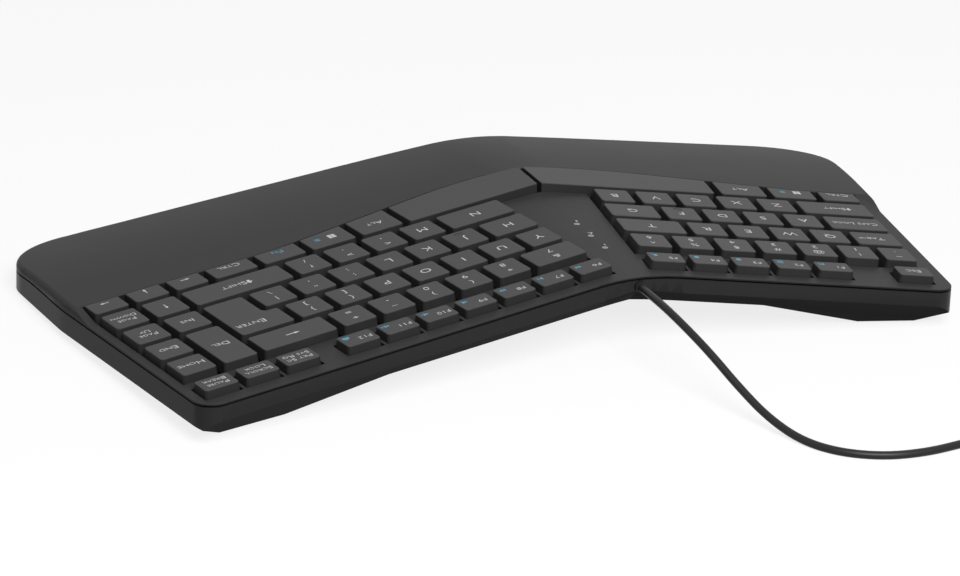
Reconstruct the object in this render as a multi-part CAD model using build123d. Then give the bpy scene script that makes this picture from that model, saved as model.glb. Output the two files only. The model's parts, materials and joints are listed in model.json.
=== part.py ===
from build123d import *
import os
from math import atan, cos, degrees, radians, sin, sqrt, tan

# Ergonomic split keyboard: an arched body whose two halves slope away from a ridge in the middle,
# a palm rest that is one with the cover, low caps over rubber domes, and a thin lead at the back.
# The key field has its own frame: X to the user's right, Y away from the user, Z up, X = 0 the ridge.
# Both halves share one tilted key plane, mirrored at the ridge. All lengths are in millimetres.

# Key field
pitch = 19.0
row_pitch = 19.1
split_angle = 8.8
tent_angle = 6.4
valley_blend = 18.0

# How the key field stands over the desk
desk_tilt = 2.5
desk_roll = 1.15
key_height = 38.2

# Plan of the housing
right_end = 222.2
left_end = 158.5
back_edge = 91.4
front_edge = 95.9
front_rake = 5.1
right_flare = 4.1
back_corner = 10.0
front_corner = 32.0
back_valley_radius = 130.0
front_bow_radius = 800.0
flank_bend_radius = 150.0

# Levels below the key plane
palm_level = 0.2
deck_level = 3.4
cover_seam = 4.2
groove_height = 0.8
band_foot = 11.2
floor_level = 17.0
desk_gap = 1.0

# Palm rest and the line where it meets the front row of keys
palm_blend_start = 10.5
palm_blend = 13.0
palm_crest = -30.0
palm_radius = 365.0
rim_radius = 2.4
rim_back = -12.0
seam_crest = -45.0
seam_radius = 203.0
palm_line_bend = (128.0, -3.2)
palm_line_middle = -41.1
palm_line_middle_radius = 184.0
palm_line_bend_radius = 150.0

# Underside
back_bevel = 6.5
flank_foot = 14.0
flank_bevel = (7.0, 4.5)
front_bevel = 12.0
front_bevel_rise = 3.8
heel_start_right = 135.0
heel_start_left = 75.0
heel_ramp = 42.0
heel_depth = 36.0
heel_fade = 42.0
heel_drop = 7.5

# Walls and the seam of the housing
cover_wall = 2.0
tub_wall = 2.2
tub_floor = 1.5
groove_depth = 1.0
skirt_wall = 1.2
skirt_gap = 0.3

# Caps
cap_gap = 3.6
cap_flare = 0.55
cap_depth = 5.6
cap_roof = 1.3
cap_wall = 1.2
cap_corner = 1.2
key_travel = 2.6
function_row = 4.1
function_cap_depth = 10.8
well_margin = 0.5
front_gap = 0.6
space_gap = 1.0

# Switch stack under the caps, levels below the key plane
stem_side = 4.2
stem_level = 9.9
guide_clearance = 0.35
frame_clearance = 0.4
frame_top = cap_depth + key_travel + frame_clearance
frame_thickness = 0.9
frame_rim = 1.2
dome_height = 2.9
dome_foot = 8.4
dome_head = 4.6
dome_gap = 0.1
sheet_thickness = 0.4
membrane_thickness = 0.3
plate_thickness = 0.6
stack_inner = 17.0
stack_end_inset = 2.8
stack_front = -25.0
stack_back = 84.0

# Fastenings
boss_radius = 3.4
boss_height = 3.0
boss_spots = ((44.0, -58.0), (132.0, -48.0), (-44.0, -58.0), (-126.0, -50.0), (0.0, 76.0))
screw_radius = 1.3
screw_head_radius = 2.6
screw_head_height = 1.6
screw_length = 7.0
screw_clearance = 0.15
screw_recess = 2.2

# Rubber pads and tilt feet, on the flat of the underside
pad_size = (20.0, 9.0)
front_pad_spots = ((211.0, -45.0), (-150.0, -45.0))
heel_pad_size = (9.0, 14.0)
heel_pad_inset = 13.0
heel_pad_middle = 66.0
foot_width = 21.0
foot_length = 17.0
foot_thickness = 3.2
foot_inset = 33.5
foot_middle = 66.0
foot_pin_radius = 1.1
foot_pin_length = 1.6
foot_pin_clearance = 0.15
foot_room = 0.5
foot_swing = 85.0

# Controller board, its strip in the valley and the light pipes of the lock lamps
board_size = (70.0, 22.0)
board_middle = -66.0
board_thickness = 1.2
board_level = 12.0
board_strip = 8.0
board_end = 64.0
board_post_radius = 1.6
board_post_spots = ((27.0, -66.0), (-27.0, -66.0), (0.0, -25.0), (0.0, 18.0), (0.0, 51.0))
lens_radius = 1.4
lens_clearance = 0.1
lens_spots = (29.3, 43.9, 58.5)

# Lead, gland, plug and tie
cord_diameter = 3.5
cord_exit_level = 8.6
gland_radius = 2.5
gland_clearance = 0.1
gland_flange_radius = 3.4
gland_flange = 1.2
gland_seat = 0.3
gland_proud = 1.4
coil_half_turns = 9
coil_pitch = 4.1
coil_layer = 4.7
coil_inner_radius = 11.0
coil_last_gain = 6.5
coil_start = (-146.0, 206.0)
coil_heading = 198.0
tie_thickness = 0.5
tie_clearance = 0.2
tie_width = 4.0
plug_body_size = (26.0, 15.5, 7.6)
plug_edge = 1.5
plug_neck_length = 9.0
plug_neck_radii = (2.2, 3.2)
plug_shell_size = (18.0, 12.0, 4.5)
plug_shell_wall = 0.4
plug_tongue = 1.8

# Table of caps. A cell is (inner edge, outer edge, row) in key pitches from the ridge.
number_row, top_row, home_row, lower_row, front_row = 3, 2, 1, 0, -1


def run(first, count, row):
    """Cells of a run of single keys, from the centre of the one nearest the ridge."""
    return [(first + i - 0.5, first + i + 0.5, row) for i in range(count)]


right_inner = 1.12
left_inner = 1.03
right_outer = 11.61
left_outer = 8.0
right_caps = {
    "function_keys_right": run(1.6, 7, function_row),
    "print_pause_keys": run(9.11, 3, function_row),
    "number_keys_right": [(right_inner, 2.6, number_row)] + run(3.1, 5, number_row),
    "top_letters_right": [(right_inner, 2.1, top_row)] + run(2.6, 6, top_row),
    "home_letters_right": [(right_inner, 2.438, home_row)] + run(2.938, 6, home_row),
    "lower_letters_right": [(right_inner, 2.963, lower_row)] + run(3.463, 4, lower_row),
    "backspace_key": [(7.6, 9.6, number_row)],
    "right_shift_key": [(6.963, 9.6, lower_row)],
    "insert_key": run(10.1, 1, home_row),
    "arrow_up_key": run(10.1, 1, lower_row),
    "home_key": run(11.11, 1, number_row),
    "end_key": run(11.11, 1, top_row),
    "page_up_key": run(11.11, 1, home_row),
    "page_down_key": run(11.11, 1, lower_row),
}
left_caps = {
    "function_keys_left": run(1.59, 5, function_row),
    "escape_key": run(7.55, 1, function_row),
    "number_keys_left": run(1.567, 6, number_row),
    "backquote_key": [(7.067, left_outer, number_row)],
    "top_letters_left": [(left_inner, 2.73, top_row)] + run(3.23, 4, top_row),
    "tab_key": [(6.73, left_outer, top_row)],
    "home_letters_left": [(left_inner, 2.412, home_row)] + run(2.912, 4, home_row),
    "caps_lock_key": [(6.412, left_outer, home_row)],
    "lower_letters_left": run(1.58, 5, lower_row),
    "left_shift_key": [(6.08, left_outer, lower_row)],
}
right_front_caps = {
    "space_bar_right": (0.0, 3.5),
    "right_alt_key": (3.5, 4.75),
    "right_super_key": (4.75, 6.06),
    "fn_key": (6.06, 7.31),
    "right_ctrl_key": (7.31, 8.57),
    "arrow_left_key": (8.57, 9.57),
    "arrow_down_key": (9.57, 10.59),
    "arrow_right_key": (10.59, right_outer),
}
left_front_caps = {
    "space_bar_left": (0.0, 4.33),
    "left_alt_key": (4.33, 5.65),
    "left_super_key": (5.65, 6.9),
    "left_ctrl_key": (6.9, left_outer),
}
enter_cells = ((8.1, 9.6, top_row), (8.438, 9.6, home_row))
delete_cells = ((9.6, 10.6, number_row), (9.6, 10.6, top_row))

tent, split = radians(tent_angle), radians(split_angle)
half = Location((0, 0, 0), (0, 0, split_angle)) * Location((0, 0, 0), (0, tent_angle, 0))
press_axis = (-sin(tent) * cos(split), -sin(tent) * sin(split), -cos(tent))
parts = {}


# Frames and helpers

palm_frame = half * Location((0, 0, 0), (0, 0, front_rake - split_angle))
on_desk = Location((0, 0, key_height), (desk_tilt, -desk_roll, 0))
desk = on_desk.inverse()
reach = 300.0


def beyond(gap):
    """Everything on the user's right of the ridge, less a gap."""
    return Pos(gap + reach, 0, 0) * Box(2 * reach, 4 * reach, 2 * reach)


def both_halves(shape):
    """A shape of the right half, cut at the ridge, with its mirror image."""
    right = shape & beyond(0.0)
    return right + mirror(right, about=Plane.YZ)


def arched(shape):
    """Both halves of a body under the key plane, with the ridge between them rounded over."""
    whole = both_halves(shape)
    ridge = [e for e in whole.edges() if e.bounding_box().size.X < 0.01 and e.center().Z > -reach / 4]
    return whole.fillet(valley_blend / (cos(split) * tan(tent)), ridge)


def height(x, y, level):
    """Height of a level below the key plane over a plan point, before the ridge is rounded."""
    return -level / cos(tent) - (abs(x) * cos(split) + y * sin(split)) * tan(tent)


def along(frame, line):
    """A profile in the Y and Z of a frame, drawn out along its X."""
    face = Plane.YZ * make_face(line)
    return frame * extrude(face, amount=reach, both=True)


def across(frame):
    """The same frame turned, so that its Y is the old X."""
    return frame * Location((0, 0, 0), (0, 0, -90))


def under_line(frame, first, second, raised=0.0):
    """Everything under the straight line through two points of a frame's Y and Z."""
    first, second = Vector(*first), Vector(*second)
    way = (second - first).normalized()
    lift = Vector(-way.Y, way.X) * (raised if way.X > 0 else -raised)
    start, end = first + lift - way * reach, second + lift + way * reach
    bottom = -2 * reach
    points = [(start.X, start.Y), (end.X, end.Y), (end.X, bottom), (start.X, bottom)]
    return along(frame, Polyline(*points, close=True))


def flank_x(y):
    """Distance of the right flank from the ridge at this depth."""
    if y < 0:
        return right_end / cos(split) - y * tan(radians(right_flare))
    return (right_end - y * sin(split)) / cos(split)


def front_y(x):
    return abs(x) * tan(radians(front_rake)) - front_edge


def back_y(x):
    return (back_edge + abs(x) * sin(split)) / cos(split)


# Plan outlines, as prisms along Z

def housing_plan():
    rake, flare = tan(radians(front_rake)), tan(radians(right_flare))
    front_right = (flank_x(0.0) + front_edge * flare) / (1 + rake * flare)
    front_left = (left_end + front_edge * sin(split)) / (cos(split) + rake * sin(split))

    def back(end):
        return end * cos(split) - back_edge * sin(split), end * sin(split) + back_edge * cos(split)

    back_right, back_left = back(right_end), back(left_end)
    points = [
        (0, back_y(0)),
        back_right,
        (flank_x(0.0), 0),
        (front_right, front_y(front_right)),
        (0, -front_edge),
        (-front_left, front_y(front_left)),
        (-back_left[0], back_left[1]),
    ]
    radii = [
        back_valley_radius,
        back_corner,
        flank_bend_radius,
        front_corner,
        front_bow_radius,
        front_corner,
        back_corner,
    ]
    return make_face(FilletPolyline(*points, radius=radii, close=True))


def prism(face, inset=0.0):
    """The endless prism of a plan outline, drawn in by an inset."""
    if inset:
        face = offset(face, amount=-inset)
    return extrude(face, amount=reach, both=True)


def key_field(inset=0.0):
    """Everything behind the line of the palm rest, drawn back by an inset."""
    bend_x, bend_y = palm_line_bend
    far_y = bend_y + (reach - bend_x) * tan(split)
    points = [
        (-reach, far_y),
        (-bend_x, bend_y),
        (0, palm_line_middle),
        (bend_x, bend_y),
        (reach, far_y),
        (reach, reach),
        (-reach, reach),
    ]
    radii = [0, palm_line_bend_radius, palm_line_middle_radius, palm_line_bend_radius, 0, 0, 0]
    face = make_face(FilletPolyline(*points, radius=radii, close=True))
    return prism(face, inset)


# Cells, wells and caps, in the frame of the right key plane

def cell_box(cell):
    """Edges of a cell in millimetres: inner, outer, front, back."""
    inner, outer, row = cell
    depth = function_cap_depth + cap_gap if row == function_row else row_pitch
    middle = row * row_pitch
    return inner * pitch, outer * pitch, middle - depth / 2, middle + depth / 2


front_reach = 2.6 * row_pitch
front_back = (front_row + 0.5) * row_pitch


def front_box(edges):
    """Edges of a key in front of the letters. Its front is cut by the line of the palm rest."""
    return edges[0] * pitch, edges[1] * pitch, -front_reach, front_back


def slab(box, low, high, inset=0.0):
    """A block over a box of the key plane, between two levels."""
    inner, outer, front, back = box
    size = outer - inner - 2 * inset, back - front - 2 * inset, high - low
    middle = (Align.CENTER, Align.CENTER, Align.MIN)
    return Pos((inner + outer) / 2, (front + back) / 2, low) * Box(*size, align=middle)


def outline(boxes, inset, corner, level):
    """One closed outline round touching boxes of the key plane, drawn in by an inset."""
    face = None
    for inner, outer, front, back in boxes:
        piece = Pos((inner + outer) / 2, (front + back) / 2) * Rectangle(outer - inner, back - front)
        face = piece if face is None else face + piece
    face = offset(face, amount=-inset, kind=Kind.INTERSECTION)
    if corner:
        face = chamfer(face.vertices(), corner)
    return Pos(0, 0, level) * face


def cap(boxes, stem, cut=None, cut_inside=None):
    """A hollow cap with its stem. Its foot stands out a little past its top."""
    foot_inset = cap_gap / 2 - cap_flare
    foot = outline(boxes, foot_inset, cap_corner, -cap_depth)
    body = extrude(foot, amount=cap_depth, taper=degrees(atan(cap_flare / cap_depth)))
    hollow = extrude(outline(boxes, foot_inset + cap_wall, 0.0, -cap_depth), amount=cap_depth - cap_roof)
    if cut:
        body = body & cut
        hollow = hollow & cut_inside
    post = Pos(stem[0], stem[1], -cap_roof) * Box(
        stem_side, stem_side, stem_level - cap_roof, align=(Align.CENTER, Align.CENTER, Align.MAX)
    )
    return body - hollow + post


def middle_of(box):
    return (box[0] + box[1]) / 2, (box[2] + box[3]) / 2


def on_half(side, shape):
    """From the frame of the right key plane to its place on the right (1) or left (-1) half."""
    placed = half * shape
    return placed if side > 0 else mirror(placed, about=Plane.YZ)


def in_key_plane(shape):
    return half.inverse() * shape


stem_spots = {1: [], -1: []}
front_stem_depth = 0.92 * row_pitch


def make_caps():
    for side, table in ((1, right_caps), (-1, left_caps)):
        for name, cells in table.items():
            boxes = [cell_box(cell) for cell in cells]
            stem_spots[side] += [middle_of(box) for box in boxes]
            caps = [on_half(side, cap([box], middle_of(box))) for box in boxes]
            parts[name] = caps[0] if len(caps) == 1 else Compound(children=caps)
    for name, cells in (("enter_key", enter_cells), ("delete_key", delete_cells)):
        boxes = [cell_box(cell) for cell in cells]
        stem = middle_of(boxes[1])
        stem_spots[1].append(stem)
        parts[name] = on_half(1, cap(boxes, stem))
    outside, inside = key_field(front_gap), key_field(front_gap + cap_wall)
    for side, table in ((1, right_front_caps), (-1, left_front_caps)):
        for name, edges in table.items():
            cut, cut_inside = outside, inside
            if edges[0] == 0.0:
                edges = (-1.0, edges[1])
                cut = outside & beyond(space_gap)
                cut_inside = inside & beyond(space_gap + cap_wall)
            box = front_box(edges)
            stem = (max(edges[0], 0.35) + edges[1]) * pitch / 2, -front_stem_depth
            stem_spots[side].append(stem)
            shape = cap([box], stem, in_key_plane(cut), in_key_plane(cut_inside))
            parts[name] = on_half(side, shape)


# The cover

def wells(side, grow=0.0, low=-reach / 2, high=reach / 2):
    """The openings of one half: one for the key field, one for each function key."""
    inset = cap_gap / 2 - cap_flare - well_margin - grow
    table = right_caps if side > 0 else left_caps
    inner = (right_inner if side > 0 else left_inner) * pitch
    outer = (right_outer if side > 0 else left_outer) * pitch
    field_back = (number_row + 0.5) * row_pitch
    shape = slab((inner, outer, -front_reach, field_back), low, high, inset)
    shape += slab((-2 * pitch, inner + pitch, -front_reach, front_back), low, high, inset)
    shape = shape & in_key_plane(key_field(-grow) & beyond(0.0))
    for cells in table.values():
        for cell in cells:
            if cell[2] == function_row:
                shape += slab(cell_box(cell), low, high, inset)
    return on_half(side, shape)


def sagging(level, crest, radius):
    """Everything under a plane that bows down to the front from a crest, in the palm rest's frame."""
    front = -front_edge - 10.0

    def sag(y):
        return y, sqrt(radius**2 - (crest - y) ** 2) - radius - level

    line = Line((reach, -level), (crest, -level))
    line += ThreePointArc((crest, -level), sag((crest + front) / 2), sag(front))
    line += Polyline(sag(front), (front, -reach), (reach, -reach), (reach, -level))
    return along(palm_frame, line)


def under_cover(drop=0.0):
    """Everything under the outer face of the cover, lowered by a drop."""
    deck = (-palm_blend_start, -deck_level - drop)
    palm = (-palm_blend_start - palm_blend, -palm_level - drop)
    rising = under_line(half, deck, (0, deck[1])) + under_line(half, palm, deck)
    return arched(sagging(palm_level + drop, palm_crest, palm_radius) & rising)


def under_seam(drop=0.0):
    """Everything under the lower edge of the cover, lowered by a drop."""
    return arched(sagging(cover_seam + drop, seam_crest, seam_radius))


def boss_seat(x, y):
    """Height at which the boss of the tub meets the boss of the cover."""
    return height(x, y, floor_level) + screw_recess + boss_height


def post(x, y, radius, low, high):
    return Pos(x, y, low) * Cylinder(radius, high - low, align=(Align.CENTER, Align.CENTER, Align.MIN))


def palm_rounded(body):
    """The block of the cover with its rim rounded over round the palm rest."""
    walls = [face for face in body.faces() if abs(face.normal_at().Z) < 0.01]
    edges = [edge for wall in walls for edge in wall.edges()]
    rim = [edge for edge in edges if edge.center().Z > -reach / 4 and edge.center().Y < rim_back]
    return body.fillet(rim_radius, rim)


def make_cover(plan):
    body = palm_rounded(prism(plan) & under_cover()) - under_seam()
    body += (prism(plan, groove_depth) & under_seam()) - under_seam(groove_height)
    body -= prism(plan, cover_wall) & under_cover(cover_wall)
    skirt_foot = -(frame_top - skirt_gap)
    skirts = wells(1, skirt_wall, skirt_foot, 0.0) + wells(-1, skirt_wall, skirt_foot, 0.0)
    body += skirts & under_cover(cover_wall / 2) & prism(plan, tub_wall + skirt_gap)
    for x, y in boss_spots:
        body += post(x, y, boss_radius, boss_seat(x, y), 0.0) & under_cover(cover_wall / 2)
    body -= wells(1) + wells(-1)
    for x, y in boss_spots:
        seat = boss_seat(x, y)
        body -= post(x, y, screw_radius + screw_clearance, seat, seat + screw_length - boss_height + 0.5)
    for y in lens_spots:
        body -= post(0, y, lens_radius + lens_clearance, -reach / 4, reach / 4)
    parts["top_cover"] = body


# The tub

def flank_bevels(raised=0.0):
    """What the bevels of the flanks take off. Their upper edges run level with the key plane."""
    width, rise = flank_bevel
    middle = flank_x(0.0) * cos(radians(right_flare))
    spans = []
    for turn, end in ((0.0, right_end), (right_flare - split_angle, middle), (0.0, left_end)):
        frame = across(half * Location((0, 0, 0), (0, 0, turn)))
        edge = (end + flank_foot * sin(tent)) / cos(tent)
        spans.append(under_line(frame, (edge, -flank_foot), (edge - width, -flank_foot - rise), raised))
    right, left = (spans[0] + spans[1]) & beyond(0.0), spans[2] & beyond(0.0)
    return right + mirror(left, about=Plane.YZ)


def end_bevels(raised=0.0):
    """What the bevels of the back and the front edge take off."""
    front = -front_edge * cos(radians(front_rake))
    rear = under_line(half, (back_edge, -band_foot), (back_edge - back_bevel, -floor_level), raised)
    nose = (front, -floor_level + front_bevel_rise), (front + front_bevel, -floor_level)
    return both_halves(rear + under_line(palm_frame, *nose, raised))


def belly():
    """The hollow between the heels, under the floor."""
    fade_start = back_edge - heel_depth - heel_fade
    fade = under_line(half, (fade_start, -floor_level), (fade_start + heel_fade, -floor_level - heel_drop))
    spans = []
    for start in (heel_start_right, heel_start_left):
        ramp = (start, -floor_level), (start + heel_ramp, -floor_level - heel_drop)
        spans.append((under_line(across(half), *ramp) + fade) & beyond(0.0))
    return arched(under_line(half, (0, -floor_level), (1, -floor_level))) & (
        spans[0] + mirror(spans[1], about=Plane.YZ)
    )


def under_desk(rise):
    """Everything lower than a rise over the desk."""
    return under_line(desk, (0, rise), (1, rise))


plate_foot = stem_level + dome_gap + dome_height + sheet_thickness + membrane_thickness + plate_thickness


def heel_frames():
    """The frame of each foot: origin on the underside, X along its pin, Y to the back edge."""
    for side, end in ((1, right_end), (-1, left_end)):
        turn = Location((0, 0, 0), (0, 0, side * split_angle))
        yield side, end, desk * turn * Pos(0, 0, desk_gap)


def foot_boxes():
    """The space of each foot: its side of the ridge and the frame at the middle of its pin."""
    pin_y = foot_middle + foot_length / 2 - foot_thickness / 2
    pin_z = foot_room + foot_thickness / 2
    for side, end, frame in heel_frames():
        yield side, frame * Pos(side * (end - foot_inset), pin_y, pin_z)


def gland_place():
    """Where the axis of the lead passes the outer face of the back wall."""
    rounding = back_valley_radius * (1 / cos(split) - 1)
    y = back_y(0.0) + rounding
    return y, height(0.0, y, cord_exit_level)


def barrel(radius, start, end):
    """A round bar about the axis of the gland, between two distances along Y."""
    z = gland_place()[1]
    bar = Cylinder(radius, end - start, rotation=(-90, 0, 0), align=(Align.CENTER, Align.CENTER, Align.MIN))
    return Pos(0, start, z) * bar


def make_tub(plan):
    inside_floor = arched(under_line(half, (0, -plate_foot), (1, -plate_foot)))
    body = (prism(plan) & under_seam(groove_height)) - belly()
    body -= under_desk(desk_gap) + end_bevels() + flank_bevels()
    room = prism(plan, tub_wall) & (Pos(0, 0, reach / 2 - 100) * Box(4 * reach, 4 * reach, reach))
    room -= inside_floor
    room -= end_bevels(tub_floor)
    room -= under_desk(desk_gap + tub_floor) + flank_bevels(tub_floor)
    body -= room
    for x, y in boss_spots:
        low = height(x, y, floor_level)
        ledge = low + screw_recess
        body += post(x, y, boss_radius, low + plate_thickness, boss_seat(x, y))
        body -= post(x, y, screw_radius + screw_clearance, low - 20, boss_seat(x, y) + 1)
        body -= post(x, y, screw_head_radius + screw_clearance, low - 20, ledge)
    for x, y in board_post_spots:
        body += post(x, y, board_post_radius, height(x, y, floor_level) + tub_floor / 2, -board_level)
    for side, pin in foot_boxes():
        wide = foot_width + 2 * foot_room
        long = foot_length + 2 * foot_room
        deep = foot_thickness + 2 * foot_room
        middle = -foot_length / 2 + foot_thickness / 2
        top = foot_thickness / 2 + foot_room
        pocket = Pos(0, middle, top) * Box(wide, long, deep + 20, align=(Align.CENTER, Align.CENTER, Align.MAX))
        hole = Cylinder(
            foot_pin_radius + foot_pin_clearance,
            wide + 2 * foot_pin_length,
            rotation=(0, 90, 0),
        )
        body -= pin * (pocket + hole)
    wall = gland_place()[0]
    seat = wall - tub_wall + gland_seat
    body -= barrel(gland_radius + gland_clearance, wall - 10, wall + 10)
    body -= barrel(gland_flange_radius + gland_clearance, seat - 2 * gland_flange, seat)
    parts["bottom_cover"] = body


# Feet, pads and screws

def make_feet():
    for side, pin in foot_boxes():
        hanging = (Align.CENTER, Align.MAX, Align.CENTER)
        bar = Box(foot_width, foot_length - foot_thickness / 2, foot_thickness, align=hanging)
        round_end = Cylinder(foot_thickness / 2, foot_width, rotation=(0, 90, 0))
        pins = Cylinder(foot_pin_radius, foot_width + 2 * foot_pin_length, rotation=(0, 90, 0))
        parts["tilt_foot_right" if side > 0 else "tilt_foot_left"] = pin * (bar + round_end + pins)


def make_pads():
    standing = (Align.CENTER, Align.CENTER, Align.MIN)
    pads = [desk * Pos(x, y, 0) * Box(*pad_size, desk_gap, align=standing) for x, y in front_pad_spots]
    for side, end, frame in heel_frames():
        spot = Pos(side * (end - heel_pad_inset), heel_pad_middle, -desk_gap)
        pads.append(frame * spot * Box(*heel_pad_size, desk_gap, align=standing))
    parts["rubber_feet"] = Compound(children=pads)


def make_screws():
    screws = []
    for x, y in boss_spots:
        ledge = height(x, y, floor_level) + screw_recess
        head = post(x, y, screw_head_radius, ledge - screw_head_height, ledge)
        screws.append(head + post(x, y, screw_radius, ledge, ledge + screw_length))
    parts["case_screws"] = Compound(children=screws)


# Switch stack, in the frame of the right key plane

def make_stack(side):
    end = (right_outer if side > 0 else left_outer) * pitch - stack_end_inset
    box = (stack_inner, end, stack_front, stack_back)
    sheet_top = -(stem_level + dome_gap + dome_height)
    sheet_foot = sheet_top - sheet_thickness
    membrane_foot = sheet_foot - membrane_thickness
    frame = slab(box, sheet_top, -frame_top) - slab(box, sheet_top, -frame_top - frame_thickness, frame_rim)
    guide = stem_side + 2 * guide_clearance
    middle = (Align.CENTER, Align.CENTER, Align.MAX)
    hole = Box(guide, guide, frame_top + 2 * frame_thickness, align=middle)
    frame -= [Pos(u, v, 0) * hole for u, v in stem_spots[side]]
    lean = degrees(atan((dome_foot - dome_head) / 2 * cos(radians(30)) / dome_height))
    dome = extrude(RegularPolygon(dome_foot / 2, 6), amount=dome_height, taper=lean)
    sheet = slab(box, sheet_foot, sheet_top) + [Pos(u, v, sheet_top) * dome for u, v in stem_spots[side]]
    name = "right" if side > 0 else "left"
    parts[f"key_frame_{name}"] = on_half(side, frame)
    parts[f"dome_sheet_{name}"] = on_half(side, sheet)
    parts[f"membrane_{name}"] = on_half(side, slab(box, membrane_foot, sheet_foot))
    parts[f"base_plate_{name}"] = on_half(side, slab(box, -plate_foot, membrane_foot))


# Controller board and light pipes

def make_board():
    top = -board_level + board_thickness
    standing = (Align.CENTER, Align.CENTER, Align.MIN)
    board = Pos(0, board_middle, -board_level) * Box(*board_size, board_thickness, align=standing)
    front = (Align.CENTER, Align.MIN, Align.MIN)
    strip = Box(board_strip, board_end - board_middle, board_thickness, align=front)
    board += Pos(0, board_middle, -board_level) * strip
    parts["controller_board"] = board
    roof = under_cover()
    pipes = [post(0, y, lens_radius, top, 0.0) & roof for y in lens_spots]
    parts["indicator_lenses"] = Compound(children=pipes)


# Gland and lead. The lead's route is in the desk's frame.

def make_gland():
    wall = gland_place()[0]
    seat = wall - tub_wall + gland_seat
    body = barrel(gland_radius, seat, wall + gland_proud)
    parts["cable_gland"] = body + barrel(gland_flange_radius, seat - gland_flange, seat)


def lead_exit():
    """Point and direction of the lead at the outer face of the gland, in the desk's frame."""
    wall, z = gland_place()
    start = on_desk * Pos(0, wall + gland_proud, z)
    ahead = on_desk * Pos(0, wall + gland_proud + 1, z)
    return start.position, (ahead.position - start.position).normalized()


lying = cord_diameter / 2
coil_lying = lying + tie_thickness + tie_clearance
lead_run = 17.0
lead_drop = [
    (-3.0, 130.0, 29.2),
    (-8.0, 147.0, 22.6),
    (-14.0, 163.0, 13.2),
    (-20.0, 179.0, 5.6),
    (-27.0, 196.0, lying),
    (-37.0, 211.0, lying),
    (-53.0, 220.0, lying),
    (-71.0, 222.0, lying),
    (-89.0, 219.5, lying),
    (-108.0, 216.5, lying + 0.2),
]
coil_way = Vector(cos(radians(coil_heading)), sin(radians(coil_heading)), 0)
coil_side = Vector(coil_way.Y, -coil_way.X, 0)
coil_entry = Vector(*coil_start, coil_lying)


def lead_route():
    """Points of the free stretch, from the gland to the coil."""
    start, ahead = lead_exit()
    end = coil_entry - coil_way * cord_diameter
    hand = [Vector(*point) for point in lead_drop]
    return [start, start + ahead * lead_run, *hand, end - coil_way * lead_run, end]


def bend_radii(points):
    """The largest arc that each corner of a route allows."""
    radii = []
    for before, corner, after in zip(points, points[1:], points[2:]):
        first, second = corner - before, after - corner
        turn = radians(first.get_angle(second))
        radii.append(0.45 * min(first.length, second.length) / tan(turn / 2))
    return radii


def coil_arcs():
    """Half turns of the coil: spiral in, climb a layer in one half turn, spiral out, and come down."""
    step = coil_pitch / 2
    inward = [coil_inner_radius + step * (coil_half_turns - i) for i in range(coil_half_turns)]
    outward = [coil_inner_radius + step * (i + 1) for i in range(coil_half_turns - 1)]
    last_drop = plug_body_size[2] / 2 - coil_lying - coil_layer
    climbs = [0.0] * len(inward) + [coil_layer] + [0.0] * len(outward) + [last_drop]
    radii = inward + [coil_inner_radius] + outward + [outward[-1] + coil_last_gain]
    arcs, place, sign = [], coil_entry, 1
    for radius, climb in zip(radii, climbs):
        out = coil_side * sign * sqrt(radius**2 - (climb / 2) ** 2) + Vector(0, 0, climb / 2)
        middle, end = place + coil_way * sign * radius + out, place + out * 2
        arcs.append(ThreePointArc(place, middle, end))
        place, sign = end, -sign
    return arcs


def coil_gap(path, steps=4000, near=60):
    """Least gap of the tube to itself, from points along its path."""
    points = [path @ (i / steps) for i in range(steps + 1)]
    length = path.length / steps
    skip = int(near / length / 10)
    least = reach
    cells = {}
    for index, point in enumerate(points):
        key = tuple(int(value // coil_pitch) for value in point)
        cells.setdefault(key, []).append(index)
    for (a, b, c), members in cells.items():
        around = [
            other
            for da in (-1, 0, 1)
            for db in (-1, 0, 1)
            for dc in (-1, 0, 1)
            for other in cells.get((a + da, b + db, c + dc), [])
        ]
        for index in members:
            for other in around:
                if other - index > skip * 5:
                    least = min(least, (points[index] - points[other]).length)
    return least - cord_diameter


def tube(path, section):
    """A section swept along a path, with its volume compared with section times length."""
    face = Plane(origin=path @ 0, z_dir=path % 0) * section
    body = sweep(face, path=path)
    print("tube volume over section times length", round(body.volume / (section.area * path.length), 4))
    return body


def make_lead():
    points = lead_route()
    radii = bend_radii(points)
    print("lead radii", [round(radius, 1) for radius in radii])
    path = FilletPolyline(*points, radius=radii)
    parts["cable"] = tube(path, Circle(lying))
    arcs = coil_arcs()
    leaving = arcs[-1] @ 1
    coil = [Line(coil_entry - coil_way * cord_diameter, coil_entry), *arcs]
    coil.append(Line(leaving, leaving - coil_way * cord_diameter))
    wire = Wire([edge for line in coil for edge in line.edges()])
    print("length of the lead", round(path.length + wire.length, 1))
    print("least gap of the coil to itself", round(coil_gap(wire), 2))
    parts["cable_coil"] = tube(wire, RegularPolygon(lying, 6))
    make_plug(leaving - coil_way * cord_diameter)
    make_tie(arcs)


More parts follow.
